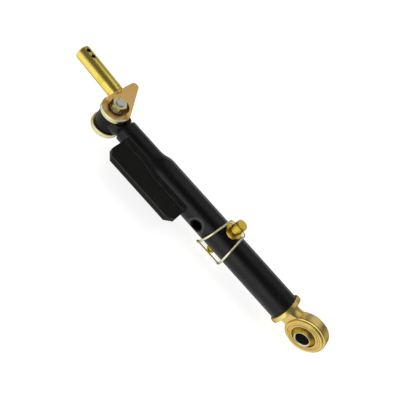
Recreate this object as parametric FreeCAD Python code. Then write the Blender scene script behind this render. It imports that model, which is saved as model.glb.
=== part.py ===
import FreeCAD, Part
import math
import os

os.makedirs("parts", exist_ok=True)

# Telescopic stabilizer bar of a compact tractor's three-point linkage, in millimetres.
# The origin is the centre of the swivel ball. +X runs along the bar to the hitch pin,
# +Y is the axis of the ball's bore and +Z is the axis of the pivot bolt.

# How far a cutting tool reaches past what it cuts, and the volume below which a leftover
# of a cut is no piece of its own
overshoot = 1.0
crumb_volume = 1.0

# Outer tube
tube_radius = 21.2
tube_wall = 4.0
tube_low_end = 46.0
swage_length = 24.0
swage_drop = 4.35
neck_length = 53.0
neck_wall = 3.3
tube_length = 324.0
tube_chamfer = 0.8

# Lock pin station and the second pair of holes
lock_pin_x = 170.0
lock_pin_radius = 6.25
lock_hole_clearance = 0.25
cross_hole_x = 209.0
cross_hole_radius = 7.0
countersink_radius = 12.5
countersink_depth = 3.2

# Stop fin
fin_setback = 12.0
fin_length = 124.0
fin_reach = 52.3
fin_thickness = 10.0
fin_corner = 10.0
fin_edge_round = 1.0
fin_weld_size = 5.5
fin_weld_toe = 0.6

# Forged ball end
flange_radius = 24.5
flange_thickness = 7.0
flange_round = 1.8
spigot_length = 20.0
spigot_lead = 1.5
spigot_clearance = 0.1
end_bead_width = 1.3
end_bead_height = 0.52
end_bead_crest = 0.78
forging_neck_radius = 15.0
neck_root_flare = 1.0
neck_root_half_width = 11.0
neck_meeting_angle = 34.0
eye_wall = 6.0
eye_width = 16.0
eye_edge_round = 2.0
race_radius = 24.0
race_wall = 4.0
race_width = 22.0
race_face_width = 6.6
race_mouth_depth = 1.5
race_groove_depth = 0.7
race_groove_width = 0.9
race_split = 0.3
collar_ring_wall = 3.0
collar_ring_width = 21.0
edge_break = 0.8

# Swivel ball
ball_flat_depth = 4.3
ball_bore_radius = 10.0
ball_clearance = 0.06
bore_chamfer = 1.0

# Lock pin head and wire bail
head_foot_radius = 9.0
head_foot_length = 2.8
head_flange_radius = 12.0
head_flange_thickness = 4.2
head_waist_radius = 6.6
head_waist_length = 3.0
head_barrel_radius = 8.0
head_barrel_length = 15.8
head_edge = 1.6
lock_pin_tail = 16.3
lock_pin_point = 4.0
wire_radius = 1.6
wire_clearance = 0.1
bail_pivot_height = 15.8
bail_half_width_head = 13.0
bail_half_width_far = 21.5
bail_grip = 5.0
bail_pin_gap = 0.35
bail_bow_reach = 33.1
bail_bow_height = 1.4
bail_bow_half_width = 18.8
bail_head_bend = 3.0
bail_bow_bend = 26.0
bail_far_bend = 4.0
bail_far_drop = 11.8

# Inner bar
bar_radius_clearance = 0.1
bar_inner_end = 88.0
float_travel = 45.0
slot_clearance = 0.45
bar_wall = 4.5
collar_length = 12.0
collar_clearance = 0.1
spring_pin_radius = 2.5
spring_pin_wall = 1.0
spring_pin_slit = 0.6
spring_pin_recess = 0.6

# Eye of the inner bar and the pivot stack
eye_standoff = 8.5
eye_drop = 4.5
eye_tube_radius = 18.5
eye_tube_edge = 1.0
eye_weld_length = 6.5
eye_weld_height = 3.5
eye_weld_swell = 2.45
eye_tube_length = 26.0
bush_radius = 13.5
sleeve_radius = 10.0
sleeve_clearance = 0.05
side_play = 0.5
bolt_radius = 6.35
bolt_hole_clearance = 0.3
thread_clearance = 0.05
hex_across_flats = 19.0
hex_turn = 15.0
hex_corner_slope = 0.6
hex_corner_stand = 0.01
bolt_head_height = 8.0
nut_height = 9.0
washer_radius = 10.2
washer_thickness = 2.5
washer_edge = 0.3
bolt_end_stand = 2.0
bolt_point = 1.0
disc_radius = 21.3
disc_thickness = 8.0
disc_edge = 1.4
disc_edge_turn = 0.42
disc_relief_gap = 1.0

# Flag plate and hitch pin
plate_thickness = 8.0
plate_front = 20.8
plate_front_slant = 3.5
plate_tip_radius = 6.0
plate_tip_reach = 44.4
plate_front_high = 8.0
plate_back_low = 3.0
plate_back_reach = 21.0
plate_weld_margin = 4.0
notch_radius = 13.5
notch_shift = 2.0
hitch_pin_radius = 11.0
hitch_pin_length = 76.1
hitch_pin_chamfer = 2.5
hitch_pin_edge_length = 0.75
hitch_pin_edge_depth = 0.875
hitch_pin_offset = 13.0
hitch_root_length = 5.5
hitch_root_relief = 0.4
linch_hole_radius = 3.1
linch_hole_first = 8.6
linch_hole_spacing = 10.5
swing_at_rest = -4.0
weld_size = 2.4
plate_weld_reach = 1.68
pin_weld_inner_drop = 4.18
pin_weld_outer_drop = 0.88

# Sizes that follow from the ones above
bore_radius = tube_radius - tube_wall
neck_radius = tube_radius - swage_drop
guide_radius = neck_radius - neck_wall
tube_top_end = tube_low_end + tube_length
swage_end = tube_top_end - neck_length
swage_start = swage_end - swage_length
fin_end = tube_top_end - fin_setback
fin_start = fin_end - fin_length
eye_centre_x = tube_top_end + eye_standoff + eye_tube_radius
eye_radius = race_radius + eye_wall
collar_ring_radius = race_radius + collar_ring_wall
race_mouth_radius = race_radius - race_face_width
ball_radius = race_radius - race_wall
half_ball = ball_radius - ball_flat_depth
lock_hole_radius = lock_pin_radius + lock_hole_clearance
bar_radius = guide_radius - bar_radius_clearance
stack_half = eye_tube_length / 2 + side_play
disc_top = stack_half + disc_thickness
plate_middle = disc_top + plate_thickness / 2
pin_start = plate_front - plate_front_slant


def point(x, y, z):
    return FreeCAD.Vector(x, y, z)


along_x = point(1, 0, 0)
along_y = point(0, 1, 0)
along_z = point(0, 0, 1)
origin = point(0, 0, 0)
eye_centre = point(eye_centre_x, 0, -eye_drop)


def save(node, shape):
    shape.exportStep("parts/" + node + ".step")


def cylinder(radius, start, axis, length):
    return Part.makeCylinder(radius, length, start, axis)


def turned(outline, axis, centre=origin):
    """A solid of revolution: outline is a list of (distance along the axis, radius) pairs."""
    side = along_z if axis is along_x else along_x
    corners = [centre + axis * along + side * radius for along, radius in outline]
    return Part.Face(Part.makePolygon(corners + [corners[0]])).revolve(centre, axis, 360)


def rounded_path(corners, bends):
    """Straight runs joined by tangent arcs: one bend radius for each inner corner."""
    edges = []
    last = corners[0]
    for before, corner, after, bend in zip(corners, corners[1:], corners[2:], bends):
        back = (before - corner).normalize()
        onward = (after - corner).normalize()
        half_angle = back.getAngle(onward) / 2
        cut_back = bend / math.tan(half_angle)
        inward = (back + onward).normalize()
        middle = corner + inward * (bend / math.sin(half_angle) - bend)
        entry = corner + back * cut_back
        leave = corner + onward * cut_back
        edges.append(Part.makeLine(last, entry))
        edges.append(Part.Arc(entry, middle, leave).toShape())
        last = leave
    edges.append(Part.makeLine(last, corners[-1]))
    return Part.Wire(edges)


def swept(path, start, direction, radius):
    """Round wire of one radius along a smooth path."""
    section = Part.Wire([Part.makeCircle(radius, start, direction)])
    return path.makePipeShell([section], True, False)


def swung(shape):
    """The swivel's pieces are drawn with the pin along +X, then turned to the rest angle."""
    turned_shape = shape.copy()
    turned_shape.rotate(eye_centre, along_z, swing_at_rest)
    return turned_shape


# Outer tube: drawn tube with its upper end swaged down to guide the inner bar.
def swage_curve(big_radius, small_radius):
    """Two tangent arcs that lead from the big radius down to the small one."""
    drop = big_radius - small_radius
    arc_radius = (swage_length ** 2 + drop ** 2) / (4 * drop)
    half_turn = math.asin(swage_length / 2 / arc_radius) / 2
    middle_x = swage_start + swage_length / 2
    middle = point(middle_x, 0, (big_radius + small_radius) / 2)
    reach = arc_radius * math.sin(half_turn)
    dip = arc_radius * (1 - math.cos(half_turn))
    start = point(swage_start, 0, big_radius)
    finish = point(swage_end, 0, small_radius)
    first = Part.Arc(start, point(swage_start + reach, 0, big_radius - dip), middle)
    second = Part.Arc(middle, point(swage_end - reach, 0, small_radius + dip), finish)
    return [first.toShape(), second.toShape()]


def swaged_solid(big_radius, small_radius, low_end, top_end, chamfer):
    """Solid round form with the swage, from which tube, bore and fin seat are made."""
    low = point(low_end, 0, big_radius - chamfer)
    low_edge = point(low_end + chamfer, 0, big_radius)
    top_edge = point(top_end - chamfer, 0, small_radius)
    top = point(top_end, 0, small_radius - chamfer)
    edges = [Part.makeLine(point(low_end, 0, 0), low)]
    if chamfer > 0:
        edges.append(Part.makeLine(low, low_edge))
    edges.append(Part.makeLine(low_edge, point(swage_start, 0, big_radius)))
    edges += swage_curve(big_radius, small_radius)
    edges.append(Part.makeLine(point(swage_end, 0, small_radius), top_edge))
    if chamfer > 0:
        edges.append(Part.makeLine(top_edge, top))
    edges.append(Part.makeLine(top, point(top_end, 0, 0)))
    edges.append(Part.makeLine(point(top_end, 0, 0), point(low_end, 0, 0)))
    return Part.Face(Part.Wire(edges)).revolve(origin, along_x, 360)


tube_envelope = swaged_solid(tube_radius, neck_radius, tube_low_end, tube_top_end, tube_chamfer)
tube_bore = swaged_solid(bore_radius, guide_radius, tube_low_end - overshoot,
                         tube_top_end + overshoot, 0)
outer_tube = tube_envelope.cut(tube_bore)
through = 2 * (tube_radius + overshoot)
lock_holes = cylinder(lock_hole_radius, point(lock_pin_x, 0, -through / 2), along_z, through)
cross_holes = cylinder(cross_hole_radius, point(cross_hole_x, -through / 2, 0), along_y, through)
outer_tube = outer_tube.cut(lock_holes).cut(cross_holes)
for side in (1, -1):
    bottom = point(cross_hole_x, side * (tube_radius - countersink_depth), 0)
    outer_tube = outer_tube.cut(
        Part.makeCone(cross_hole_radius, countersink_radius, countersink_depth,
                      bottom, along_y * side))
save("outer_tube", outer_tube)

# Stop fin: flat bar with two cropped corners, its inner edge cut to the tube's outline.
fin_outline = [
    (fin_start, 0),
    (fin_start, fin_reach - fin_corner),
    (fin_start + fin_corner, fin_reach),
    (fin_end - fin_corner, fin_reach),
    (fin_end, fin_reach - fin_corner),
    (fin_end, 0),
]
fin_corners = [point(x, y, -fin_thickness / 2) for x, y in fin_outline]
fin_blank = Part.Face(Part.makePolygon(fin_corners + [fin_corners[0]]))
fin_blank = fin_blank.extrude(along_z * fin_thickness)
outer_edges = [
    edge for edge in fin_blank.Edges
    if edge.BoundBox.ZLength < fin_edge_round and edge.BoundBox.YMin > neck_radius
]
stop_fin = fin_blank.makeFillet(fin_edge_round, outer_edges).cut(tube_envelope)
save("stop_fin", stop_fin)

# Fillet welds along both faces of the fin, where it stands on the tube.
def fin_weld_section(x, radius, side):
    """Bead in the corner of fin and tube; the two inner corners lie inside the tube."""
    face_z = fin_thickness / 2
    foot_z = face_z + fin_weld_size
    root_y = math.sqrt(radius ** 2 - face_z ** 2)
    toe_y = math.sqrt(radius ** 2 - foot_z ** 2)
    corners = [
        point(x, root_y - fin_weld_size, side * face_z),
        point(x, root_y + fin_weld_size, side * face_z),
        point(x, toe_y + fin_weld_toe, side * foot_z),
        point(x, toe_y - fin_weld_size, side * foot_z),
    ]
    return Part.makePolygon(corners + [corners[0]])


weld_stations = [
    (fin_start + fin_weld_toe, tube_radius),
    (swage_start, tube_radius),
    (swage_end, neck_radius),
    (fin_end - fin_weld_toe, neck_radius),
]
for node, side in (("fin_weld_upper", 1), ("fin_weld_lower", -1)):
    sections = [fin_weld_section(x, radius, side) for x, radius in weld_stations]
    bead = Part.makeLoft(sections, True, True).cut(tube_envelope)
    save(node, max(bead.Solids, key=lambda solid: solid.Volume))

# Forged ball end: spigot in the tube, flange against its end, waisted neck and round eye.
flange_face = tube_low_end - flange_thickness
flange_rim = math.pi / 4
flange = turned([
    (flange_face, 0),
    (flange_face, flange_radius - flange_round),
    (flange_face + flange_round * (1 - math.sin(flange_rim)),
     flange_radius - flange_round * (1 - math.cos(flange_rim))),
    (flange_face + flange_round, flange_radius),
    (tube_low_end - flange_round, flange_radius),
    (tube_low_end - flange_round * (1 - math.sin(flange_rim)),
     flange_radius - flange_round * (1 - math.cos(flange_rim))),
    (tube_low_end, flange_radius - flange_round),
    (tube_low_end, 0),
], along_x)
spigot_radius = bore_radius - spigot_clearance
spigot = turned([
    (tube_low_end, 0),
    (tube_low_end, spigot_radius),
    (tube_low_end + spigot_length - spigot_lead, spigot_radius),
    (tube_low_end + spigot_length, spigot_radius - spigot_lead),
    (tube_low_end + spigot_length, 0),
], along_x)


def forging_neck():
    """Short neck between flange and eye: hollow outline, flat on both faces."""
    meeting = math.radians(neck_meeting_angle)
    eye_x = eye_radius * math.cos(meeting)
    root = point(flange_face, 0, forging_neck_radius + neck_root_flare)
    waist = point((flange_face + eye_x) / 2, 0, forging_neck_radius)
    shoulder = point(eye_x, 0, eye_radius * math.sin(meeting))
    curve = Part.BSplineCurve()
    curve.interpolate(Points=[root, waist, shoulder])
    edges = [
        Part.makeLine(point(flange_face, 0, 0), root),
        curve.toShape(),
        Part.makeLine(shoulder, point(eye_x, 0, 0)),
        Part.makeLine(point(eye_x, 0, 0), point(flange_face, 0, 0)),
    ]
    round_neck = Part.Face(Part.Wire(edges)).revolve(origin, along_x, 360)
    side_view = [
        point(eye_x, -eye_width / 2, -eye_radius),
        point(flange_face, -neck_root_half_width, -eye_radius),
        point(flange_face, neck_root_half_width, -eye_radius),
        point(eye_x, eye_width / 2, -eye_radius),
    ]
    slab = Part.Face(Part.makePolygon(side_view + [side_view[0]]))
    return round_neck.common(slab.extrude(along_z * (2 * eye_radius)))


eye_rim = math.pi / 4
eye_outline = []
for side in (-1, 1):
    face_y = side * eye_width / 2
    inner_y = side * (eye_width / 2 - eye_edge_round)
    mid_y = face_y - side * eye_edge_round * (1 - math.sin(eye_rim))
    mid_radius = eye_radius - eye_edge_round * (1 - math.cos(eye_rim))
    rim = [(face_y, 0), (face_y, eye_radius - eye_edge_round), (mid_y, mid_radius),
           (inner_y, eye_radius)]
    eye_outline += rim if side < 0 else rim[::-1]
eye_disc = turned(eye_outline, along_y)
half_ring = collar_ring_width / 2
eye_disc = eye_disc.fuse(turned([
    (-half_ring, 0),
    (-half_ring, collar_ring_radius - edge_break),
    (-half_ring + edge_break, collar_ring_radius),
    (half_ring - edge_break, collar_ring_radius),
    (half_ring, collar_ring_radius - edge_break),
    (half_ring, 0),
], along_y))
race_seat = cylinder(race_radius, point(0, -eye_width, 0), along_y, 2 * eye_width)
ball_end = flange.fuse(spigot).fuse(forging_neck()).fuse(eye_disc).cut(race_seat)
ball_end = ball_end.removeSplitter()
save("ball_end", ball_end)

# Race: ring rolled into the eye round the ball, with a staking groove on each face.
seat_radius = ball_radius + ball_clearance
mouth_y = race_width / 2 - race_mouth_depth
mouth_radius = math.sqrt(seat_radius ** 2 - mouth_y ** 2)
race_blank = turned([
    (-race_width / 2, race_mouth_radius),
    (-race_width / 2, race_radius - edge_break),
    (-race_width / 2 + edge_break, race_radius),
    (race_width / 2 - edge_break, race_radius),
    (race_width / 2, race_radius - edge_break),
    (race_width / 2, race_mouth_radius),
    (mouth_y, mouth_radius),
    (-mouth_y, mouth_radius),
], along_y)
ball_race = race_blank.cut(Part.makeSphere(seat_radius))
groove_radius = (race_mouth_radius + race_radius) / 2
for side in (1, -1):
    face = race_width / 2 + overshoot
    groove = turned([
        (side * (race_width / 2 - race_groove_depth), groove_radius - race_groove_width / 2),
        (side * (race_width / 2 - race_groove_depth), groove_radius + race_groove_width / 2),
        (side * face, groove_radius + race_groove_width / 2),
        (side * face, groove_radius - race_groove_width / 2),
    ], along_y)
    ball_race = ball_race.cut(groove)
for node, low in (("race_near", race_split / 2), ("race_far", -race_radius - race_split / 2)):
    keep = Part.makeBox(4 * race_radius, race_radius, 4 * race_radius,
                        point(-2 * race_radius, low, -2 * race_radius))
    save(node, ball_race.common(keep))

# Weld bead that closes the corner between the tube's end and the flange.
end_weld = turned([
    (tube_low_end, tube_radius - tube_chamfer),
    (tube_low_end, tube_radius + end_bead_height),
    (tube_low_end + end_bead_crest, tube_radius + end_bead_height),
    (tube_low_end + end_bead_width + tube_chamfer, tube_radius),
    (tube_low_end + tube_chamfer, tube_radius),
], along_x)
save("ball_end_weld", end_weld)

# Swivel ball: sphere with flat faces and the bore for the tractor's pin.
flat_radius = math.sqrt(ball_radius ** 2 - half_ball ** 2)
ball_side = Part.Arc(point(flat_radius, half_ball, 0), point(ball_radius, 0, 0),
                     point(flat_radius, -half_ball, 0)).toShape()
ball_corners = [
    point(flat_radius, -half_ball, 0),
    point(ball_bore_radius + bore_chamfer, -half_ball, 0),
    point(ball_bore_radius, -half_ball + bore_chamfer, 0),
    point(ball_bore_radius, half_ball - bore_chamfer, 0),
    point(ball_bore_radius + bore_chamfer, half_ball, 0),
    point(flat_radius, half_ball, 0),
]
ball_edges = [Part.makeLine(a, b) for a, b in zip(ball_corners[:-1], ball_corners[1:])]
ball = Part.Face(Part.Wire(ball_edges + [ball_side])).revolve(origin, along_y, 360)
save("swivel_ball", ball)

# Lock pin: turned head on a plain shank that crosses the tube and stands out below it.
pin_foot = -tube_radius - lock_pin_tail
flange_low = tube_radius + head_foot_length
flange_top = flange_low + head_flange_thickness
waist_top = flange_top + head_waist_length
head_top = waist_top + head_barrel_length
lock_pin = turned([
    (pin_foot, 0),
    (pin_foot, lock_pin_radius / 2),
    (pin_foot + lock_pin_point, lock_pin_radius),
    (tube_radius, lock_pin_radius),
    (tube_radius, head_foot_radius),
    (flange_low, head_foot_radius),
    (flange_low, head_flange_radius - head_edge / 2),
    (flange_low + head_edge / 2, head_flange_radius),
    (flange_top - head_edge / 2, head_flange_radius),
    (flange_top, head_flange_radius - head_edge / 2),
    (flange_top, head_waist_radius),
    (waist_top, head_waist_radius),
    (waist_top, head_barrel_radius - head_edge / 2),
    (waist_top + head_edge / 2, head_barrel_radius),
    (head_top - head_edge, head_barrel_radius),
    (head_top, head_barrel_radius - head_edge),
    (head_top, 0),
], along_z, point(lock_pin_x, 0, 0))
bail_pivot_z = tube_radius + bail_pivot_height
wire_hole = cylinder(wire_radius + wire_clearance,
                     point(lock_pin_x - head_barrel_radius - overshoot, 0, bail_pivot_z),
                     along_x, 2 * (head_barrel_radius + overshoot))
lock_pin = lock_pin.cut(wire_hole)
save("lock_pin", lock_pin)

# Wire bail: two ends hooked into the head, two bowed legs round the tube, one far side
# that lies against the pin's tail and keeps it from falling out.
far_y = lock_pin_radius + wire_radius + bail_pin_gap
far_z = -tube_radius - bail_far_drop
hook_end = head_barrel_radius - bail_grip


def bail_corners(side):
    """Corners of one leg of the wire, from the hooked end in the head to the far side."""
    places = [
        (hook_end, 0, bail_pivot_z),
        (bail_half_width_head, 0, bail_pivot_z),
        (bail_bow_half_width, bail_bow_reach, bail_bow_height),
        (bail_half_width_far, far_y, far_z),
    ]
    return [point(lock_pin_x + side * x, y, z) for x, y, z in places]


bends = [bail_head_bend, bail_bow_bend, bail_far_bend]
bail_path = rounded_path(bail_corners(1) + bail_corners(-1)[::-1], bends + bends[::-1])
bail = swept(bail_path, bail_corners(1)[0], along_x, wire_radius)
save("lock_bail", bail)

# Inner bar: round bar with a long slot for the lock pin and one round cross hole.
bar_blank = cylinder(bar_radius, point(bar_inner_end, 0, 0), along_x,
                     eye_centre_x - bar_inner_end)
bar_bore = cylinder(bar_radius - bar_wall, point(bar_inner_end - overshoot, 0, 0), along_x,
                    eye_centre_x - bar_inner_end)
disc_relief = cylinder(disc_radius + weld_size + disc_relief_gap,
                       eye_centre + along_z * (eye_tube_length / 2), along_z, bar_radius)
eye_envelope = cylinder(eye_tube_radius, point(eye_centre_x, 0, -bar_radius * 2), along_z,
                        bar_radius * 4)
slot_half_width = lock_pin_radius + slot_clearance
slot_start = lock_pin_x - float_travel
cut_foot = -bar_radius - overshoot
cut_length = 2 * (bar_radius + overshoot)
slot = Part.makeBox(float_travel, 2 * slot_half_width, cut_length,
                    point(slot_start, -slot_half_width, cut_foot))
for slot_x in (slot_start, lock_pin_x):
    slot = slot.fuse(cylinder(slot_half_width, point(slot_x, 0, cut_foot), along_z, cut_length))
bar_hole = cylinder(cross_hole_radius, point(cross_hole_x, cut_foot, 0), along_y, cut_length)
collar_middle = bar_inner_end + collar_length / 2
collar_radius = bore_radius - collar_clearance
spring_pin_half = collar_radius - spring_pin_recess
pin_drill = cylinder(spring_pin_radius, point(collar_middle, -collar_radius - overshoot, 0),
                     along_y, 2 * (collar_radius + overshoot))
inner_bar = bar_blank.cut(bar_bore).cut(eye_envelope).cut(disc_relief)
inner_bar = inner_bar.cut(slot).cut(bar_hole).cut(pin_drill)
save("inner_bar", inner_bar)

# Guide collar on the bar's inner end, which also stops the bar at the swage.
guide_collar = turned([
    (bar_inner_end, bar_radius),
    (bar_inner_end, collar_radius - edge_break),
    (bar_inner_end + edge_break, collar_radius),
    (bar_inner_end + collar_length - edge_break, collar_radius),
    (bar_inner_end + collar_length, collar_radius - edge_break),
    (bar_inner_end + collar_length, bar_radius),
], along_x).cut(pin_drill)
save("guide_collar", guide_collar)

# Spring pin that holds the collar on the bar: rolled strip with a slit along it.
collar_pin = cylinder(spring_pin_radius, point(collar_middle, -spring_pin_half, 0), along_y,
                      2 * spring_pin_half)
collar_pin = collar_pin.cut(cylinder(spring_pin_radius - spring_pin_wall,
                                     point(collar_middle, -spring_pin_half - overshoot, 0),
                                     along_y, 2 * (spring_pin_half + overshoot)))
collar_pin = collar_pin.cut(Part.makeBox(
    spring_pin_radius + overshoot, 2 * (spring_pin_half + overshoot), spring_pin_slit,
    point(collar_middle, -spring_pin_half - overshoot, -spring_pin_slit / 2)))
save("collar_pin", collar_pin)

# Eye of the bar: short thick tube, its weld bead, and the bush pressed into it.
half_eye_tube = eye_tube_length / 2
eye_tube = turned([
    (-half_eye_tube, bush_radius),
    (-half_eye_tube, eye_tube_radius - eye_tube_edge),
    (-half_eye_tube + eye_tube_edge, eye_tube_radius),
    (half_eye_tube - eye_tube_edge, eye_tube_radius),
    (half_eye_tube, eye_tube_radius - eye_tube_edge),
    (half_eye_tube, bush_radius),
], along_z, eye_centre)
save("eye_tube", eye_tube)

bead_start = eye_centre_x - eye_tube_radius - eye_weld_length
bead_end = eye_centre_x - eye_tube_radius / 2
eye_weld = turned([
    (bead_start, bar_radius),
    (bead_start + eye_weld_length / 2, bar_radius + eye_weld_swell),
    (bead_start + eye_weld_length, bar_radius + eye_weld_height),
    (bead_end, bar_radius + eye_weld_height),
    (bead_end, bar_radius),
], along_x)
eye_weld = eye_weld.cut(eye_envelope.fuse(bar_blank)).cut(disc_relief)
beads = [solid for solid in eye_weld.Solids if solid.Volume > crumb_volume]
save("eye_weld", Part.makeCompound(beads))

bush_bore = sleeve_radius + sleeve_clearance
pivot_bush = turned([
    (-half_eye_tube, bush_bore + edge_break),
    (-half_eye_tube, bush_radius),
    (half_eye_tube, bush_radius),
    (half_eye_tube, bush_bore + edge_break),
    (half_eye_tube - edge_break, bush_bore),
    (-half_eye_tube + edge_break, bush_bore),
], along_z, eye_centre)
save("pivot_bush", pivot_bush)

# Pivot stack that turns in the bush: sleeve, two thick discs, bolt, washer and nut.
bolt_hole = bolt_radius + bolt_hole_clearance
spacer_sleeve = turned([
    (-stack_half, bolt_hole),
    (-stack_half, sleeve_radius),
    (stack_half, sleeve_radius),
    (stack_half, bolt_hole),
], along_z, eye_centre)
save("spacer_sleeve", swung(spacer_sleeve))


def thick_disc(low):
    high = low + disc_thickness
    return turned([
        (low, bolt_hole),
        (low, disc_radius - disc_edge),
        (low + disc_edge_turn, disc_radius - disc_edge_turn),
        (low + disc_edge, disc_radius),
        (high - disc_edge, disc_radius),
        (high - disc_edge_turn, disc_radius - disc_edge_turn),
        (high, disc_radius - disc_edge),
        (high, bolt_hole),
    ], along_z, eye_centre)


save("disc_near", swung(thick_disc(stack_half)))
save("disc_far", swung(thick_disc(-disc_top)))


def hexagon(low, height):
    """Six-sided head or nut with the corners turned off at both ends."""
    corner_radius = hex_across_flats / math.sqrt(3)
    corners = []
    for step in range(6):
        angle = math.radians(60 * step + hex_turn)
        corners.append(eye_centre + point(corner_radius * math.cos(angle),
                                          corner_radius * math.sin(angle), low))
    prism = Part.Face(Part.makePolygon(corners + [corners[0]])).extrude(along_z * height)
    flat = hex_across_flats / 2
    turned_off = (corner_radius - flat) * hex_corner_slope
    cone = turned([
        (low, 0),
        (low, flat),
        (low + turned_off, corner_radius + hex_corner_stand),
        (low + height - turned_off, corner_radius + hex_corner_stand),
        (low + height, flat),
        (low + height, 0),
    ], along_z, eye_centre)
    return prism.common(cone)


washer_top = disc_top + washer_thickness
nut_top = washer_top + nut_height
bolt_end = nut_top + bolt_end_stand
bolt_shank = turned([
    (-disc_top, 0),
    (-disc_top, bolt_radius),
    (bolt_end - bolt_point, bolt_radius),
    (bolt_end, bolt_radius - bolt_point),
    (bolt_end, 0),
], along_z, eye_centre)
pivot_bolt = hexagon(-disc_top - bolt_head_height, bolt_head_height).fuse(bolt_shank)
save("pivot_bolt", swung(pivot_bolt.removeSplitter()))
nut_washer = turned([
    (disc_top, bolt_hole),
    (disc_top, washer_radius - washer_edge),
    (disc_top + washer_edge, washer_radius),
    (washer_top - washer_edge, washer_radius),
    (washer_top, washer_radius - washer_edge),
    (washer_top, bolt_hole),
], along_z, eye_centre)
save("nut_washer", swung(nut_washer))
nut_bore = cylinder(bolt_radius + thread_clearance,
                    eye_centre + along_z * (washer_top - overshoot), along_z,
                    nut_height + 2 * overshoot)
save("pivot_nut", swung(hexagon(washer_top, nut_height).cut(nut_bore)))


# Flag plate: three-cornered plate welded on the near disc, notched round the nut. Its
# rounded corner reaches sideways past the pin.
def flag_outline():
    tip = eye_centre + point(plate_front - plate_tip_radius, -plate_tip_reach, 0)
    back = eye_centre + point(-plate_back_reach, -plate_back_low, 0)
    front = eye_centre + point(pin_start, plate_front_high, 0)
    to_back = back - tip
    to_front = front - tip
    back_turn = math.atan2(to_back.y, to_back.x) + math.acos(plate_tip_radius / to_back.Length)
    front_turn = math.atan2(to_front.y, to_front.x) - math.acos(plate_tip_radius / to_front.Length)
    half_turn = (back_turn + front_turn) / 2 + math.pi
    back_touch, middle, front_touch = [
        tip + point(math.cos(turn), math.sin(turn), 0) * plate_tip_radius
        for turn in (back_turn, half_turn, front_turn)
    ]
    return Part.Wire([
        Part.makeLine(front_touch, front),
        Part.makeLine(front, back),
        Part.makeLine(back, back_touch),
        Part.Arc(back_touch, middle, front_touch).toShape(),
    ])


flag_face = Part.Face(flag_outline())
flag_plate = flag_face.extrude(along_z * plate_thickness)
flag_plate.translate(along_z * disc_top)
notch = cylinder(notch_radius, eye_centre + point(-notch_shift, 0, disc_top - overshoot), along_z,
                 plate_thickness + 2 * overshoot)
flag_plate = flag_plate.cut(notch)
flag_plate = max(flag_plate.Solids, key=lambda solid: solid.Volume)
save("flag_plate", swung(flag_plate))

# Hitch pin: round bar butted on the plate's slanted front edge and drilled twice for a
# linch pin. Its root is turned a little thinner, so that the seat ends clear of the disc.
pin_axis = eye_centre + point(0, -hitch_pin_offset, plate_middle)
pin_end = pin_start + hitch_pin_length
root_end = pin_start + hitch_root_length
root_radius = hitch_pin_radius - hitch_root_relief
plate_column = flag_face.extrude(along_z * (4 * hitch_pin_radius))
plate_column.translate(along_z * (plate_middle - 2 * hitch_pin_radius))
hitch_pin = turned([
    (pin_start, 0),
    (pin_start, root_radius),
    (root_end, root_radius),
    (root_end, hitch_pin_radius),
    (pin_end - hitch_pin_chamfer, hitch_pin_radius),
    (pin_end - hitch_pin_edge_length, hitch_pin_radius - hitch_pin_edge_depth),
    (pin_end, hitch_pin_radius - hitch_pin_chamfer),
    (pin_end, 0),
], along_x, pin_axis).cut(thick_disc(stack_half)).cut(plate_column)
for step in range(2):
    hole_x = pin_end - linch_hole_first - step * linch_hole_spacing
    hole_foot = pin_axis + point(hole_x, 0, -hitch_pin_radius - overshoot)
    hitch_pin = hitch_pin.cut(
        cylinder(linch_hole_radius, hole_foot, along_z, 2 * (hitch_pin_radius + overshoot)))
save("hitch_pin", swung(hitch_pin))

# Weld bead under the plate, round the rim of the near disc.
under_plate = flag_face.extrude(along_z * -weld_size)
under_plate.translate(along_z * disc_top)
plate_weld = turned([
    (disc_top - weld_size, disc_radius),
    (disc_top, disc_radius - disc_edge),
    (disc_top, disc_radius + plate_weld_reach),
], along_z, eye_centre).cut(thick_disc(stack_half)).cut(hitch_pin)
bead_side = Part.makeBox(4 * disc_radius, 2 * disc_radius, 2 * weld_size,
                         eye_centre + point(-2 * disc_radius, -2 * disc_radius - plate_weld_margin,
                                            disc_top - 2 * weld_size))
plate_weld = plate_weld.common(under_plate).common(bead_side)
save("plate_weld", swung(max(plate_weld.Solids, key=lambda solid: solid.Volume)))

# Weld beads over and under the plate, against the pin's inner end.
bead_cone = turned([
    (pin_start - weld_size, 0),
    (pin_start - weld_size, hitch_pin_radius - pin_weld_inner_drop),
    (plate_front, hitch_pin_radius - pin_weld_outer_drop),
    (plate_front, 0),
], along_x, pin_axis)
plate_slab = Part.makeBox(4 * disc_radius, 4 * disc_radius, plate_thickness,
                          eye_centre + point(-2 * disc_radius, -3 * disc_radius, disc_top))
pin_weld = bead_cone.cut(plate_slab).cut(hitch_pin).cut(thick_disc(stack_half))
pin_weld = pin_weld.cut(plate_weld)
beads = [solid for solid in pin_weld.Solids if solid.Volume > crumb_volume]
save("pin_weld", swung(Part.makeCompound(beads)))
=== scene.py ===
import math

import bpy
from mathutils import Matrix, Vector


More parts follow.
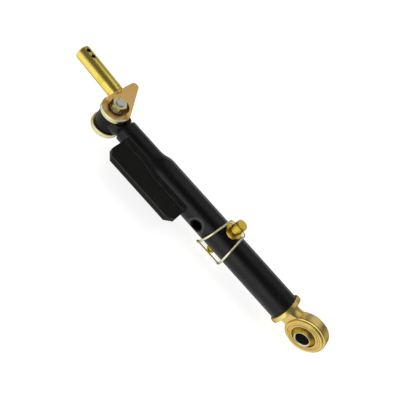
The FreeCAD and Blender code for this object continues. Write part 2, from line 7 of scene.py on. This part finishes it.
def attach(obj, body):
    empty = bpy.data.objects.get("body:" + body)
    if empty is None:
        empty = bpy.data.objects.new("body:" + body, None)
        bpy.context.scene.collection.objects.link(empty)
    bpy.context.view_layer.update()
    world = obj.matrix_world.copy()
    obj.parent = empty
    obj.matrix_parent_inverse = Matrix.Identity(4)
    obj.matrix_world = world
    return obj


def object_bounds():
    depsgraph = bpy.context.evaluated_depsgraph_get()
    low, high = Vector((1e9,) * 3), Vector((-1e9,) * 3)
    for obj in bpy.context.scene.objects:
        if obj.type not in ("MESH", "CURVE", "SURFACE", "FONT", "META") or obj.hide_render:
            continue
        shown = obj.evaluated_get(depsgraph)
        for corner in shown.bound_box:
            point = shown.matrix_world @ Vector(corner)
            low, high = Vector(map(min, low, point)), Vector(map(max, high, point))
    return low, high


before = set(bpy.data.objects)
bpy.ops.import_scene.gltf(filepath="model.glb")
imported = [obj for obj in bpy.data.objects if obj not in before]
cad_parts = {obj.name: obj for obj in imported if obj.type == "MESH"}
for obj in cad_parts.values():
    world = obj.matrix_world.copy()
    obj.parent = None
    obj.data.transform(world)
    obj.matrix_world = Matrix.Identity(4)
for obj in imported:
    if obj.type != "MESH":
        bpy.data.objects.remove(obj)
cad_low, cad_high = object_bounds()


# Outer tube. Drawn steel tube, swaged down at the end where the inner bar leaves it, then
# brushed over with satin black paint. The paint lies unevenly: it has broad soft patches
# that shine more, a fine orange-peel skin, and small scuffs where it was handled.
def shader_on(name):
    """A new finish, with its nodes, its surface and a helper that links them."""
    material = bpy.data.materials.new(name)
    material.use_nodes = True
    nodes = material.node_tree.nodes
    return material, nodes, nodes["Principled BSDF"], material.node_tree.links.new


def cloud(nodes, link, size, detail=4.0, turbulence=0.0):
    """Soft patches of about one size in metres, laid on the object itself."""
    place = nodes.new("ShaderNodeTexCoord")
    noise = nodes.new("ShaderNodeTexNoise")
    noise.inputs["Scale"].default_value = 1 / size
    noise.inputs["Detail"].default_value = detail
    noise.inputs["Distortion"].default_value = turbulence
    link(place.outputs["Object"], noise.inputs["Vector"])
    return noise.outputs["Fac"]


cloud_low = 0.3
cloud_high = 0.7


def spread(nodes, link, source, low, high):
    """Stretches the middle of a cloud over a range of values."""
    reach = nodes.new("ShaderNodeMapRange")
    reach.inputs["From Min"].default_value = cloud_low
    reach.inputs["From Max"].default_value = cloud_high
    reach.inputs["To Min"].default_value = low
    reach.inputs["To Max"].default_value = high
    link(source, reach.inputs["Value"])
    return reach.outputs["Result"]


def shades(nodes, link, source, colours):
    """Colours along a cloud, from a list of (place, colour)."""
    ramp = nodes.new("ShaderNodeValToRGB")
    stops = ramp.color_ramp.elements
    for stop, (place, colour) in zip(stops, (colours[0], colours[-1])):
        stop.position = place
        stop.color = (*colour, 1)
    for place, colour in colours[1:-1]:
        stops.new(place).color = (*colour, 1)
    link(source, ramp.inputs["Fac"])
    return ramp.outputs["Color"]


def roughen(nodes, link, shader, source, depth, strength):
    """Raises the skin of a finish by a cloud, up to a depth in metres."""
    bump = nodes.new("ShaderNodeBump")
    bump.inputs["Distance"].default_value = depth
    bump.inputs["Strength"].default_value = strength
    link(source, bump.inputs["Height"])
    link(bump.outputs["Normal"], shader.inputs["Normal"])


patch_size = 0.035
scuff_size = 0.006
scuff_start = 0.66
scuff_full = 0.76
scuff_grey = (0.07, 0.07, 0.062)
peel_size = 0.0016
peel_depth = 0.0003
peel_strength = 0.3
dulling_start = 0.5


def black_paint(name, base, gloss_low, gloss_high, shine=0.24):
    """Brushed black paint, shinier in patches, scuffed, and dull where it is seen edge on."""
    material, nodes, shader, link = shader_on(name)
    patches = cloud(nodes, link, patch_size, detail=3.0)
    peel = cloud(nodes, link, peel_size, detail=5.0)
    scuffs = cloud(nodes, link, scuff_size, detail=8.0, turbulence=1.5)
    colour = shades(nodes, link, scuffs,
                    [(0.0, base), (scuff_start, base), (scuff_full, scuff_grey)])
    link(colour, shader.inputs["Base Color"])
    facing = nodes.new("ShaderNodeLayerWeight")
    edge = nodes.new("ShaderNodeMapRange")
    edge.inputs["From Min"].default_value = dulling_start
    duller = nodes.new("ShaderNodeMath")
    duller.operation = "MAXIMUM"
    link(facing.outputs["Facing"], edge.inputs["Value"])
    link(spread(nodes, link, patches, gloss_low, gloss_high), duller.inputs[0])
    link(edge.outputs["Result"], duller.inputs[1])
    link(duller.outputs["Value"], shader.inputs["Roughness"])
    shader.inputs["Specular IOR Level"].default_value = shine
    roughen(nodes, link, shader, peel, peel_depth, peel_strength)
    return material


def dress(node, material):
    """Gives a carried-over node its finish in place of the plain one."""
    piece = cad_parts[node]
    if piece.data.materials:
        piece.data.materials[0] = material
    else:
        piece.data.materials.append(material)


# Where a node that blends colours takes and gives them
first_colour = 6
second_colour = 7
blended_colour = 2


def tone_near_axis(material, piece, centre, across, radius, tone, softness=0.0002, dull=None):
    """Gives all that lies closer than the radius to an axis another tone, dull where asked."""
    nodes = material.node_tree.nodes
    link = material.node_tree.links.new
    shader = nodes["Principled BSDF"]
    colour_socket = shader.inputs["Base Color"]
    place = nodes.new("ShaderNodeTexCoord")
    offset = nodes.new("ShaderNodeVectorMath")
    offset.operation = "SUBTRACT"
    offset.inputs[1].default_value = piece.matrix_world.inverted() @ Vector(centre)
    flatten = nodes.new("ShaderNodeVectorMath")
    flatten.operation = "MULTIPLY"
    flatten.inputs[1].default_value = across
    distance = nodes.new("ShaderNodeVectorMath")
    distance.operation = "LENGTH"
    edge = nodes.new("ShaderNodeMapRange")
    edge.inputs["From Min"].default_value = radius - softness
    edge.inputs["From Max"].default_value = radius
    edge.inputs["To Min"].default_value = 1
    edge.inputs["To Max"].default_value = 0
    blend = nodes.new("ShaderNodeMix")
    blend.data_type = "RGBA"
    blend.inputs[second_colour].default_value = (*tone, 1)
    link(place.outputs["Object"], offset.inputs[0])
    link(offset.outputs["Vector"], flatten.inputs[0])
    link(flatten.outputs["Vector"], distance.inputs[0])
    link(distance.outputs["Value"], edge.inputs["Value"])
    link(edge.outputs["Result"], blend.inputs["Factor"])
    link(colour_socket.links[0].from_socket, blend.inputs[first_colour])
    link(blend.outputs[blended_colour], colour_socket)
    if dull is None:
        return
    rubbed = nodes.new("ShaderNodeMix")
    rubbed.inputs["B"].default_value = dull
    link(edge.outputs["Result"], rubbed.inputs["Factor"])
    link(shader.inputs["Roughness"].links[0].from_socket, rubbed.inputs["A"])
    link(rubbed.outputs["Result"], shader.inputs["Roughness"])
    if shader.inputs["Metallic"].default_value > 0:
        bare = nodes.new("ShaderNodeMath")
        bare.operation = "SUBTRACT"
        bare.inputs[0].default_value = 1
        link(edge.outputs["Result"], bare.inputs[1])
        link(bare.outputs["Value"], shader.inputs["Metallic"])


tube_black = (0.0030, 0.0031, 0.0027)
tube_paint = black_paint("tube_paint", tube_black, gloss_low=0.27, gloss_high=0.42)
cross_hole = (0.209, 0, 0)
across_y = (1, 0, 1)
# A lighter grey ring round the cross hole is a painted highlight of the dimple's rim; inside
# the dimple the plain black comes back.
ring_highlight_radius = 0.0136
painted_ring_highlight = (0.070, 0.070, 0.064)
dimple_radius = 0.0108
# The hole itself is painted near black and made dull as shade.
hole_shade_radius = 0.0094
painted_hole_shade = (0.0004, 0.0004, 0.0005)
tone_near_axis(tube_paint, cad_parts["outer_tube"], cross_hole, across_y,
               ring_highlight_radius, painted_ring_highlight, softness=0.0016)
tone_near_axis(tube_paint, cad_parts["outer_tube"], cross_hole, across_y,
               dimple_radius, tube_black, softness=0.0014)
tone_near_axis(tube_paint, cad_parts["outer_tube"], cross_hole, across_y,
               hole_shade_radius, painted_hole_shade, softness=0.0008, dull=1.0)
dress("outer_tube", tube_paint)

# Stop fin. Sawn flat bar with both outer corners cropped, painted with the tube. Its sawn
# faces take the paint thinner than the tube does, so they look a little greyer, and a
# painted highlight runs along its long upper edge.
fin_black = (0.0125, 0.0125, 0.0098)
fin_paint = black_paint("fin_paint", fin_black, gloss_low=0.46, gloss_high=0.60, shine=0.09)
fin_corners = [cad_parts["stop_fin"].matrix_world @ Vector(corner)
               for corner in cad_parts["stop_fin"].bound_box]
fin_top_edge = max(fin_corners, key=lambda corner: corner.y + corner.z)
across_x = (0, 1, 1)
# A lighter grey band along the fin's long upper edge is a painted highlight.
edge_highlight_width = 0.0013
painted_edge_highlight = (0.080, 0.080, 0.070)
tone_near_axis(fin_paint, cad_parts["stop_fin"], fin_top_edge, across_x,
               edge_highlight_width, painted_edge_highlight, softness=0.0008)
dress("stop_fin", fin_paint)

# Fin welds. Two beads laid by hand in the corners between fin and tube. They follow the
# tube through its swage, and were painted over with it.
weld_black = (0.004, 0.004, 0.0034)
weld_wave_scale = 150
weld_wave_distortion = 3
weld_wave_detail_scale = 2
weld_patch_size = 0.004
weld_wave_depth = 0.0006
weld_wave_strength = 0.5
weld_paint, nodes, shader, link = shader_on("weld_paint")
shader.inputs["Base Color"].default_value = (*weld_black, 1)
shader.inputs["Specular IOR Level"].default_value = 0.34
place = nodes.new("ShaderNodeTexCoord")
waves = nodes.new("ShaderNodeTexWave")
waves.inputs["Scale"].default_value = weld_wave_scale
waves.inputs["Distortion"].default_value = weld_wave_distortion
waves.inputs["Detail Scale"].default_value = weld_wave_detail_scale
link(place.outputs["Object"], waves.inputs["Vector"])
weld_patches = cloud(nodes, link, weld_patch_size)
link(spread(nodes, link, weld_patches, low=0.36, high=0.5), shader.inputs["Roughness"])
roughen(nodes, link, shader, waves.outputs["Fac"], weld_wave_depth, weld_wave_strength)
for node in ("fin_weld_upper", "fin_weld_lower"):
    dress(node, weld_paint)

# Ripples of the fin welds. Each is the half moon that the torch left when it stepped on,
# frozen over the one before, so they overlap like scales along both beads.
ripple_pitch = 0.0023
ripple_half_length = 0.0019
ripple_half_width = 0.0043
ripple_height = 0.0011
bead_run_in = 0.0022
tip_starts = (0.45, 0.75)
tip_sweep = 0.3
tail_start = 0.2
tail_sink = 0.4


def mark_points(piece, wanted):
    """Selects the points of a piece that a rule picks, ready for work in edit mode."""
    bpy.ops.object.mode_set(mode="EDIT")
    bpy.ops.mesh.select_mode(type="VERT")
    bpy.ops.mesh.select_all(action="DESELECT")
    bpy.ops.object.mode_set(mode="OBJECT")
    for point in piece.data.vertices:
        point.select = wanted(point.co)
    bpy.ops.object.mode_set(mode="EDIT")


bpy.ops.object.select_all(action="DESELECT")
bpy.ops.mesh.primitive_uv_sphere_add(segments=20, ring_count=10, radius=1)
ripple = bpy.context.object
bpy.ops.object.mode_set(mode="EDIT")
bpy.ops.mesh.select_all(action="SELECT")
bpy.ops.transform.resize(value=(ripple_half_length, ripple_half_width, ripple_height))
for tip_start in tip_starts:
    mark_points(ripple, lambda point: abs(point.y) > tip_start * ripple_half_width)
    bpy.ops.transform.translate(value=(-tip_sweep * ripple_half_length, 0, 0))
mark_points(ripple, lambda point: point.x < -tail_start * ripple_half_length)
bpy.ops.transform.translate(value=(0, 0, -tail_sink * ripple_height))
bpy.ops.mesh.select_all(action="SELECT")
bpy.ops.mesh.vertices_smooth(factor=0.4, repeat=1)
bpy.ops.object.mode_set(mode="OBJECT")
bpy.ops.object.shade_smooth()
for node in ("fin_weld_upper", "fin_weld_lower"):
    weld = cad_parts[node]
    to_world = weld.matrix_world
    to_weld = to_world.inverted()
    corners = [to_world @ Vector(corner) for corner in weld.bound_box]
    weld_low = min(corner.x for corner in corners) + bead_run_in
    weld_high = max(corner.x for corner in corners) - bead_run_in
    middle_height = sum(corner.z for corner in corners) / len(corners)
    far_out = 2 * max(corner.y for corner in corners)
    inward = to_weld.to_3x3() @ Vector((0, -1, 0))
    scales = []
    for step in range(int((weld_high - weld_low) / ripple_pitch) + 1):
        start = Vector((weld_low + step * ripple_pitch, far_out, middle_height))
        hit, landing, facing = weld.ray_cast(to_weld @ start, inward)[:3]
        if not hit:
            continue
        up = (to_world.to_3x3() @ facing).normalized()
        across = up.cross(Vector((1, 0, 0))).normalized()
        turn = Matrix((across.cross(up), across, up)).transposed().to_4x4()
        scale = bpy.data.objects.new("scale", ripple.data.copy())
        scale.data.transform(Matrix.Translation(to_world @ landing) @ turn)
        bpy.context.scene.collection.objects.link(scale)
        scales.append(scale)
    bpy.ops.object.select_all(action="DESELECT")
    for scale in scales:
        scale.select_set(True)
    bpy.context.view_layer.objects.active = scales[0]
    bpy.ops.object.join()
    bead = bpy.context.object
    bead.name = node.replace("weld", "ripples")
    bead.data.materials.append(weld_paint)
    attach(bead, "tube")
bpy.data.objects.remove(ripple)


# Ball end. One steel forging, yellow zinc plated: the plating is gold with olive and
# pinkish clouds, and the forged skin under it stays slightly uneven.
fine_clouds_per_cloud = 14
fine_share = 0.22
olive_until = 0.32
gold_from = 0.47
gold_until = 0.56
blush_from = 0.68
edge_on_share = 0.2
skin_size = 0.0012
skin_depth = 0.0002


def zinc_plating(name, gold, olive, blush, cloud_size, gloss_low, gloss_high, skin=0.25):
    """Thin gold film over steel: it clouds from olive to pink, and darkens at a low angle."""
    material, nodes, shader, link = shader_on(name)
    clouds = cloud(nodes, link, cloud_size, detail=3.0, turbulence=0.8)
    fine = cloud(nodes, link, cloud_size / fine_clouds_per_cloud, detail=6.0)
    mixed = nodes.new("ShaderNodeMix")
    mixed.inputs["Factor"].default_value = fine_share
    link(clouds, mixed.inputs["A"])
    link(fine, mixed.inputs["B"])
    colour = shades(nodes, link, mixed.outputs["Result"],
                    [(olive_until, olive), (gold_from, gold), (gold_until, gold),
                     (blush_from, blush)])
    link(colour, shader.inputs["Base Color"])
    shader.inputs["Metallic"].default_value = 1.0
    edge_on = [edge_on_share * part for part in olive]
    shader.inputs["Specular Tint"].default_value = (*edge_on, 1)
    link(spread(nodes, link, fine, gloss_low, gloss_high), shader.inputs["Roughness"])
    roughen(nodes, link, shader, cloud(nodes, link, skin_size), skin_depth, skin)
    return material


forging_zinc = zinc_plating(
    "forging_zinc", gold=(0.73, 0.56, 0.20), olive=(0.58, 0.47, 0.08),
    blush=(0.74, 0.52, 0.27), cloud_size=0.011, gloss_low=0.26, gloss_high=0.42, skin=0.4)
dress("ball_end", forging_zinc)

# Weld round the tube's end. A thin bead in the corner between tube and flange, painted
# with the tube.
end_weld_black = (0.0055, 0.0055, 0.005)
lumpy_paint = black_paint("lumpy_paint", end_weld_black, gloss_low=0.34, gloss_high=0.48)
dress("ball_end_weld", lumpy_paint)

# Weld lump. The frozen drop where that bead was closed, on the upper side away from the
# fin. It was melted on with the bead and painted with it.
lump_centre = Vector((0.0464, -0.0163, 0.0150))
lump_radius = 0.0017
foot_start = 0.15
foot_growth = (1.1, 1.45, 1.45)
crown_start = 0.5
crown_growth = (0.7, 0.9, 0.9)
crown_sag = (-0.0002, -0.0003, -0.0002)
bpy.ops.object.select_all(action="DESELECT")
bpy.ops.mesh.primitive_uv_sphere_add(segments=32, ring_count=16, radius=lump_radius,
                                     location=lump_centre)
weld_lump = bpy.context.object
weld_lump.name = "weld_lump"
bpy.ops.object.transform_apply(location=True, rotation=True, scale=True)
outward = Vector((0, lump_centre.y, lump_centre.z)).normalized()
mark_points(weld_lump,
            lambda point: (point - lump_centre).dot(outward) < -foot_start * lump_radius)
bpy.ops.transform.resize(value=foot_growth, center_override=lump_centre)
mark_points(weld_lump,
            lambda point: (point - lump_centre).dot(outward) > crown_start * lump_radius)
bpy.ops.transform.resize(value=crown_growth, center_override=lump_centre)
bpy.ops.transform.translate(value=crown_sag)
bpy.ops.mesh.select_all(action="SELECT")
bpy.ops.mesh.vertices_smooth(factor=0.5, repeat=3)
bpy.ops.object.mode_set(mode="OBJECT")
bpy.ops.object.shade_smooth()
weld_lump.data.materials.append(lumpy_paint)
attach(weld_lump, "tube")

# Races. Two rings rolled into the forging round the ball, plated with it and rubbed bright
# on their faces.
race_zinc = zinc_plating(
    "race_zinc", gold=(0.66, 0.47, 0.15), olive=(0.56, 0.42, 0.09),
    blush=(0.70, 0.46, 0.22), cloud_size=0.010, gloss_low=0.26, gloss_high=0.4)
for node in ("race_near", "race_far"):
    dress(node, race_zinc)

# Swivel ball. Turned from bar with flat faces and a bore, and plated olive brown. Its faces
# are painted pale round the bore as a highlight, and the bore is painted dark as shade.
ball_centre = (0, 0, 0)
ball_zinc = zinc_plating(
    "ball_zinc", gold=(0.40, 0.25, 0.035), olive=(0.30, 0.21, 0.02),
    blush=(0.40, 0.18, 0.055), cloud_size=0.008, gloss_low=0.26, gloss_high=0.38)
# A pale ring round the bore on both faces is a painted highlight.
face_highlight_radius = 0.0117
painted_face_highlight = (0.74, 0.66, 0.52)
# The bore is painted near black, dulled and made non-metallic as shade.
bore_shade_radius = 0.01008
painted_bore_shade = (0.032, 0.040, 0.036)
dress("swivel_ball", ball_zinc)
tone_near_axis(ball_zinc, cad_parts["swivel_ball"], ball_centre, across_y,
               face_highlight_radius, painted_face_highlight)
tone_near_axis(ball_zinc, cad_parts["swivel_ball"], ball_centre, across_y,
               bore_shade_radius, painted_bore_shade, softness=0.00005, dull=0.35)

# Lock pin. Turned from steel bar with a collared head and a pointed lower end, and plated
# brass gold. It passes through the tube and the slot of the inner bar.
lock_pin_zinc = zinc_plating(
    "lock_pin_zinc", gold=(0.66, 0.47, 0.07), olive=(0.52, 0.45, 0.05),
    blush=(0.74, 0.47, 0.24), cloud_size=0.006, gloss_low=0.24, gloss_high=0.38)
dress("lock_pin", lock_pin_zinc)

# Lock bail. Spring wire bent on a form and hooked into the head of the pin, with a thin
# pale zinc plating.
wire_zinc = zinc_plating(
    "wire_zinc", gold=(0.76, 0.70, 0.48), olive=(0.46, 0.42, 0.22),
    blush=(0.66, 0.52, 0.36), cloud_size=0.014, gloss_low=0.2, gloss_high=0.34, skin=0.1)
dress("lock_bail", wire_zinc)

# Inner bar with its eye. A slotted tube coped to a short thick eye, painted black like the
# outer tube but dulled where it slides.
bar_black = (0.0042, 0.0043, 0.0052)
bar_paint = black_paint("bar_paint", bar_black, gloss_low=0.32, gloss_high=0.48, shine=0.13)
for node in ("inner_bar", "eye_tube"):
    dress(node, bar_paint)

# Eye weld. A heavier bead round the bar where it meets the eye, kept below the upper disc
# and painted with the bar.
dress("eye_weld", lumpy_paint)

# Hidden steel of the slide and the pivot. The collar, its spring pin, the bush and the
# sleeve are plain machined steel with a film of oil.
oiled_steel = zinc_plating(
    "oiled_steel", gold=(0.42, 0.41, 0.38), olive=(0.28, 0.27, 0.25),
    blush=(0.45, 0.42, 0.37), cloud_size=0.008, gloss_low=0.28, gloss_high=0.42)
for node in ("guide_collar", "collar_pin", "pivot_bush", "spacer_sleeve"):
    dress(node, oiled_steel)

# Pivot discs. Two thick turned discs above and below the eye. Their rims are pale yellow,
# the near one's face goes tan, and a brown ring of painted shade lies round the washer on it.
pivot_x = 0.397
across_z = (1, 1, 0)
disc_zinc = zinc_plating(
    "disc_zinc", gold=(0.76, 0.70, 0.42), olive=(0.62, 0.56, 0.25),
    blush=(0.75, 0.61, 0.40), cloud_size=0.011, gloss_low=0.3, gloss_high=0.42)
tan_face_radius = 0.0199
tan_face = (0.66, 0.45, 0.22)
# A soft brown ring round the washer is painted shade.
washer_shade_radius = 0.0150
painted_washer_shade = (0.20, 0.10, 0.035)
for node in ("disc_near", "disc_far"):
    dress(node, disc_zinc)
tone_near_axis(disc_zinc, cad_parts["disc_near"], (pivot_x, 0, 0), across_z,
               tan_face_radius, tan_face)
tone_near_axis(disc_zinc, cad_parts["disc_near"], (pivot_x, 0, 0), across_z,
               washer_shade_radius, painted_washer_shade, softness=0.003)

# Pivot bolt, washer and nut. A plated steel bolt clamps the stack from below. Its end shows
# silver grey in a yellow green nut, over a washer plated like the bolt.
bolt_zinc = zinc_plating(
    "bolt_zinc", gold=(0.62, 0.63, 0.62), olive=(0.46, 0.47, 0.44),
    blush=(0.66, 0.62, 0.52), cloud_size=0.005, gloss_low=0.28, gloss_high=0.42)
nut_zinc = zinc_plating(
    "nut_zinc", gold=(0.72, 0.70, 0.36), olive=(0.50, 0.52, 0.20),
    blush=(0.74, 0.61, 0.36), cloud_size=0.006, gloss_low=0.24, gloss_high=0.38)
for node, finish, slot in (
    ("pivot_bolt", bolt_zinc, "bolt_zinc"),
    ("nut_washer", bolt_zinc, "bolt_zinc"),
    ("pivot_nut", nut_zinc, "nut_zinc"),
):
    dress(node, finish)

# Flag plate. Steel plate cut to a triangle with rounded corners, welded on the near disc,
# and plated tan with a pinkish cast.
plate_zinc = zinc_plating(
    "plate_zinc", gold=(0.93, 0.61, 0.22), olive=(0.90, 0.63, 0.12),
    blush=(0.94, 0.55, 0.31), cloud_size=0.016, gloss_low=0.38, gloss_high=0.52, skin=0.35)
dress("flag_plate", plate_zinc)

# Hitch pin. Ground round bar with the brightest yellow plating on the part. The two cross
# holes for the linch pin are painted dark inside as shade.
hitch_pin_zinc = zinc_plating(
    "hitch_pin_zinc", gold=(0.86, 0.70, 0.16), olive=(0.76, 0.60, 0.09),
    blush=(0.84, 0.60, 0.28), cloud_size=0.012, gloss_low=0.22, gloss_high=0.30, skin=0.12)
pin_turn = Matrix.Rotation(math.radians(-4.0), 3, "Z")
pin_offset = -0.013
linch_hole_reaches = (0.0848, 0.0743)
linch_hole_radius = 0.0032
# Inside the linch holes the pin is painted near black, dulled and made non-metallic as shade.
painted_linch_hole_shade = (0.006, 0.004, 0.001)
dress("hitch_pin", hitch_pin_zinc)
for reach in linch_hole_reaches:
    linch_hole = Vector((pivot_x, 0, 0)) + pin_turn @ Vector((reach, pin_offset, 0))
    tone_near_axis(hitch_pin_zinc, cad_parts["hitch_pin"], linch_hole, across_z,
                   linch_hole_radius, painted_linch_hole_shade, softness=0.00005, dull=0.9)

# Welds of the flag plate. One bead holds the plate to the disc and one holds the pin to the
# plate. They were plated with the part and took the tone of what they sit on.
for node, finish in (("plate_weld", disc_zinc), ("pin_weld", plate_zinc)):
    dress(node, finish)

# Floor. A plain white sheet just under the part. It is bright where it is looked at and
# where it shows in metal, and still takes the shadow of the part.
floor_gap = 0.0005
floor_size = 12
floor_middle = 0.2
floor_tone = (0.86, 0.86, 0.86)
floor_glow = 0.76


def seen_directly(nodes, link):
    """One for what the camera sees and what shows in metal or glass, otherwise zero."""
    path = nodes.new("ShaderNodeLightPath")
    total = path.outputs["Is Camera Ray"]
    for ray in ("Is Glossy Ray", "Is Transmission Ray"):
        both = nodes.new("ShaderNodeMath")
        both.operation = "ADD"
        both.use_clamp = True
        link(total, both.inputs[0])
        link(path.outputs[ray], both.inputs[1])
        total = both.outputs["Value"]
    return total


bpy.ops.object.select_all(action="DESELECT")
bpy.ops.mesh.primitive_plane_add(
    size=floor_size, location=(floor_middle, 0, cad_low.z - floor_gap))
floor = bpy.context.object
floor.name = "floor"
floor_white, nodes, shader, link = shader_on("floor_white")
shader.inputs["Base Color"].default_value = (*floor_tone, 1)
shader.inputs["Roughness"].default_value = 0.9
shader.inputs["Specular IOR Level"].default_value = 0.0
shader.inputs["Emission Color"].default_value = (1, 1, 1, 1)
lift = nodes.new("ShaderNodeMapRange")
lift.inputs["To Max"].default_value = floor_glow
link(seen_directly(nodes, link), lift.inputs["Value"])
link(lift.outputs["Result"], shader.inputs["Emission Strength"])
floor.data.materials.append(floor_white)

# Camera. It stands over the +Y side, looks down on the bar and is rolled so that the bar
# runs from the upper left to the lower right.
view_target = Vector((0.231, -0.009, 0.0084))
view_distance = 0.7575
view_elevation = math.radians(46.9)
view_roll = math.radians(48.08)
back = Vector((0, math.cos(view_elevation), math.sin(view_elevation)))
level_right = Vector((-1, 0, 0))
level_up = back.cross(level_right)
right = level_right * math.cos(view_roll) + level_up * math.sin(view_roll)
up = level_up * math.cos(view_roll) - level_right * math.sin(view_roll)
camera_data = bpy.data.cameras.new("camera")
camera_data.lens = 50
camera_data.sensor_width = 36
camera = bpy.data.objects.new("camera", camera_data)
bpy.context.scene.collection.objects.link(camera)
camera.matrix_world = Matrix.Translation(view_target + back * view_distance) @ Matrix(
    (right, up, back)).transposed().to_4x4()
bpy.context.scene.camera = camera


# Studio light. One broad soft box stands low in front of the part, and a dimmer one hangs
# behind and above it.
def soft_box(name, stand, size, power):
    """A round soft light of a given size, turned to the part."""
    light_data = bpy.data.lights.new(name, "AREA")
    light_data.shape = "DISK"
    light_data.size = size
    light_data.energy = power
    light = bpy.data.objects.new(name, light_data)
    bpy.context.scene.collection.objects.link(light)
    light.location = stand
    light.rotation_mode = "QUATERNION"
    light.rotation_quaternion = (Vector(stand) - view_target).to_track_quat("Z", "Y")


soft_box("front_light", stand=(0.25, 1.15, 0.30), size=1.2, power=5.0)
soft_box("back_light", stand=(0.23, -0.50, 1.00), size=1.3, power=3.0)

# Room. Metal shows a white sweep along the floor and a dim ceiling, and the camera sees
# plain white behind the part. On all else the room throws a dim even light.
sweep_foot = 0.05
sweep_top = 0.5
sweep_white = 0.95
ceiling_grey = 0.13
room_dim = 0.2
room = bpy.data.worlds.new("room")
bpy.context.scene.world = room
room.use_nodes = True
room_nodes = room.node_tree.nodes
room_link = room.node_tree.links.new
direction = room_nodes.new("ShaderNodeTexCoord")
parts = room_nodes.new("ShaderNodeSeparateXYZ")
sweep = room_nodes.new("ShaderNodeMapRange")
sweep.inputs["From Min"].default_value = sweep_foot
sweep.inputs["From Max"].default_value = sweep_top
sweep.inputs["To Min"].default_value = sweep_white
sweep.inputs["To Max"].default_value = ceiling_grey
room_link(direction.outputs["Generated"], parts.inputs["Vector"])
room_link(parts.outputs["Z"], sweep.inputs["Value"])
shown = room_nodes.new("ShaderNodeMapRange")
shown.inputs["To Min"].default_value = room_dim
room_link(seen_directly(room_nodes, room_link), shown.inputs["Value"])
room_link(sweep.outputs["Result"], shown.inputs["To Max"])
rays = room_nodes.new("ShaderNodeLightPath")
brighter = room_nodes.new("ShaderNodeMath")
brighter.operation = "MAXIMUM"
room_link(rays.outputs["Is Camera Ray"], brighter.inputs[0])
room_link(shown.outputs["Result"], brighter.inputs[1])
background = room_nodes["Background"]
background.inputs["Color"].default_value = (1, 1, 1, 1)
room_link(brighter.outputs["Value"], background.inputs["Strength"])

bpy.context.scene.view_settings.view_transform = "Standard"
